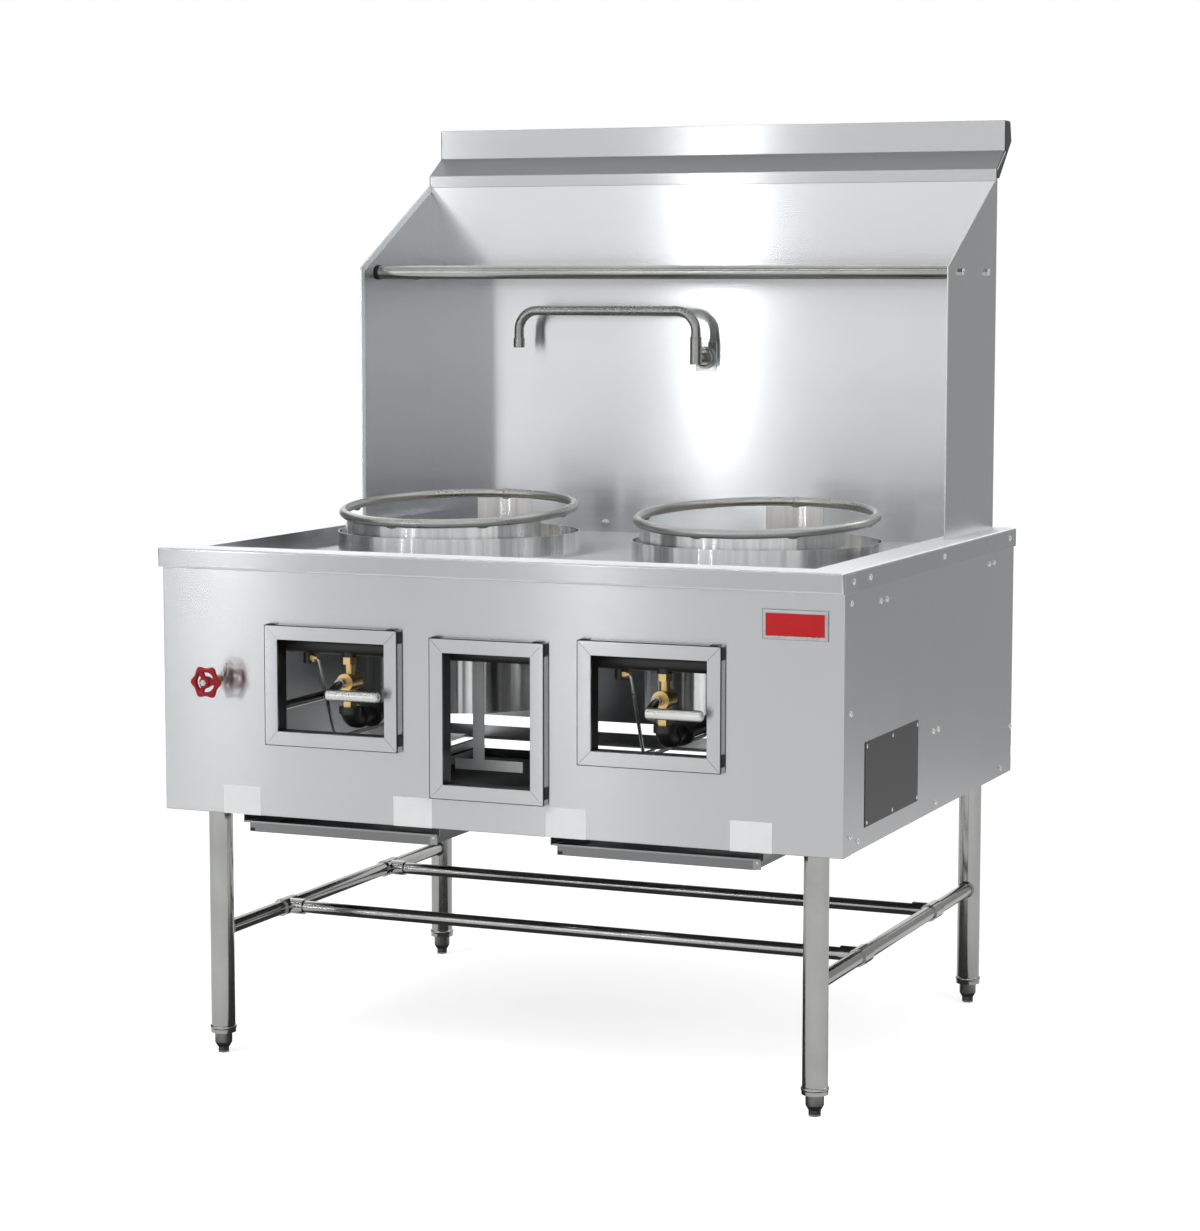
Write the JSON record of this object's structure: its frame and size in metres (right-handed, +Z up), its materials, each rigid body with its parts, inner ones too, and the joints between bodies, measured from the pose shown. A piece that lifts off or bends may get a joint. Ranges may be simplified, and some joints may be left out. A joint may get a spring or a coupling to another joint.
{
  "type": "wok range",
  "caption": "Free-standing stainless gas wok range: sunk deck with ringed fire chambers, framed front openings, lever valves, drip trays, splash back with rack, faucet and deflector.",
  "frame": {"origin": "on the floor, midway between the cabinet's sides and midway between its front and rear faces", "axes": "+Z up, +X to the right of the cook, -Y towards the cook, +Y towards the wall behind"},
  "size_m": [1.2282, 1.12, 1.6255],
  "materials": {
    "stainless_sheet": "brushed stainless sheet",
    "stainless_tube": "satin stainless",
    "chrome": "polished",
    "brass": "machined",
    "black_iron": "satin black",
    "black_paint": "black",
    "refractory": "cast refractory",
    "burner_iron": "rough cast",
    "red_paint": "glossy red",
    "aluminium_tube": "drawn tube",
    "badge_metal": "bare red field in a metal rim",
    "dark_plate": "dark matte plate"
  },
  "bodies": {
    "range": {"front_panel": "stainless_sheet", "left_side_panel": "stainless_sheet", "right_side_panel": "stainless_sheet", "rear_panel": "stainless_sheet", "rear_bottom_rail": "stainless_sheet", "top_rim": "stainless_sheet", "deck_plate": "stainless_sheet", "deck_collars": "stainless_sheet", "left_heat_shield": "stainless_sheet", "right_heat_shield": "stainless_sheet", "rear_heat_guards": "stainless_sheet", "left_wok_ring": "stainless_tube", "right_wok_ring": "stainless_tube", "left_fire_chamber": "stainless_sheet", "right_fire_chamber": "stainless_sheet", "chamber_linings": "refractory", "left_burner": "burner_iron", "right_burner": "burner_iron", "left_window_frame": "stainless_sheet", "centre_window_frame": "stainless_sheet", "right_window_frame": "stainless_sheet", "backsplash_wall": "stainless_sheet", "left_backsplash_wing": "stainless_sheet", "right_backsplash_wing": "stainless_sheet", "top_deflector": "stainless_sheet", "deflector_end_plates": "black_paint", "rack_pipes": "stainless_tube", "rack_bolts": "chrome", "faucet_body": "chrome", "water_valve": "brass", "water_pipes": "stainless_tube", "gas_manifold": "black_iron", "gas_inlet_pipe": "black_iron", "left_gas_valve": "brass", "right_gas_valve": "brass", "burner_pipes": "black_iron", "pilot_tubes": "aluminium_tube", "tray_runners": "stainless_sheet", "legs": "stainless_tube", "leg_inserts": "stainless_tube", "lower_rails": "stainless_tube", "rail_tees": "stainless_tube", "leg_gussets": "stainless_sheet", "badge_plate": "badge_metal", "data_plate": "dark_plate", "panel_fasteners": "chrome", "centre_hanger": "stainless_sheet", "deck_drain": "stainless_tube"},
    "handwheel": {"water_handwheel": "red_paint", "water_valve_stem": "chrome"},
    "spout": {"faucet_spout": "chrome", "faucet_nozzle": "chrome"},
    "left_lever": {"left_valve_lever": "stainless_tube"},
    "right_lever": {"right_valve_lever": "stainless_tube"},
    "left_tray": {"left_drip_tray": "stainless_sheet"},
    "right_tray": {"right_drip_tray": "stainless_sheet"},
    "front_left_leveller": {"front_left_foot": "stainless_tube"},
    "front_right_leveller": {"front_right_foot": "stainless_tube"},
    "rear_left_leveller": {"rear_left_foot": "stainless_tube"},
    "rear_right_leveller": {"rear_right_foot": "stainless_tube"}
  },
  "joints": [
    {"name": "handwheel_turn", "type": "hinge", "parent": "range", "child": "handwheel", "pos_m": [-0.5, -0.532, 0.663], "axis": [0, -1, 0], "range_deg": [0, 720]},
    {"name": "spout_swing", "type": "hinge", "parent": "range", "child": "spout", "pos_m": [0.006, 0.426, 1.229], "axis": [0, 0, 1], "range_deg": [0, 180]},
    {"name": "left_lever_turn", "type": "hinge", "parent": "range", "child": "left_lever", "pos_m": [-0.285, -0.45, 0.6625], "axis": [0, 1, 0], "range_deg": [0, 90]},
    {"name": "right_lever_turn", "type": "hinge", "parent": "range", "child": "right_lever", "pos_m": [0.285, -0.45, 0.6625], "axis": [0, 1, 0], "range_deg": [0, 90]},
    {"name": "left_tray_slide", "type": "slide", "parent": "range", "child": "left_tray", "axis": [0, -1, 0], "range_m": [0, 0.4]},
    {"name": "right_tray_slide", "type": "slide", "parent": "range", "child": "right_tray", "axis": [0, -1, 0], "range_m": [0, 0.4]},
    {"name": "front_left_levelling", "type": "slide", "parent": "range", "child": "front_left_leveller", "axis": [0, 0, -1], "range_m": [0, 0.02]},
    {"name": "front_right_levelling", "type": "slide", "parent": "range", "child": "front_right_leveller", "axis": [0, 0, -1], "range_m": [0, 0.02]},
    {"name": "rear_left_levelling", "type": "slide", "parent": "range", "child": "rear_left_leveller", "axis": [0, 0, -1], "range_m": [0, 0.02]},
    {"name": "rear_right_levelling", "type": "slide", "parent": "range", "child": "rear_right_leveller", "axis": [0, 0, -1], "range_m": [0, 0.02]}
  ]
}
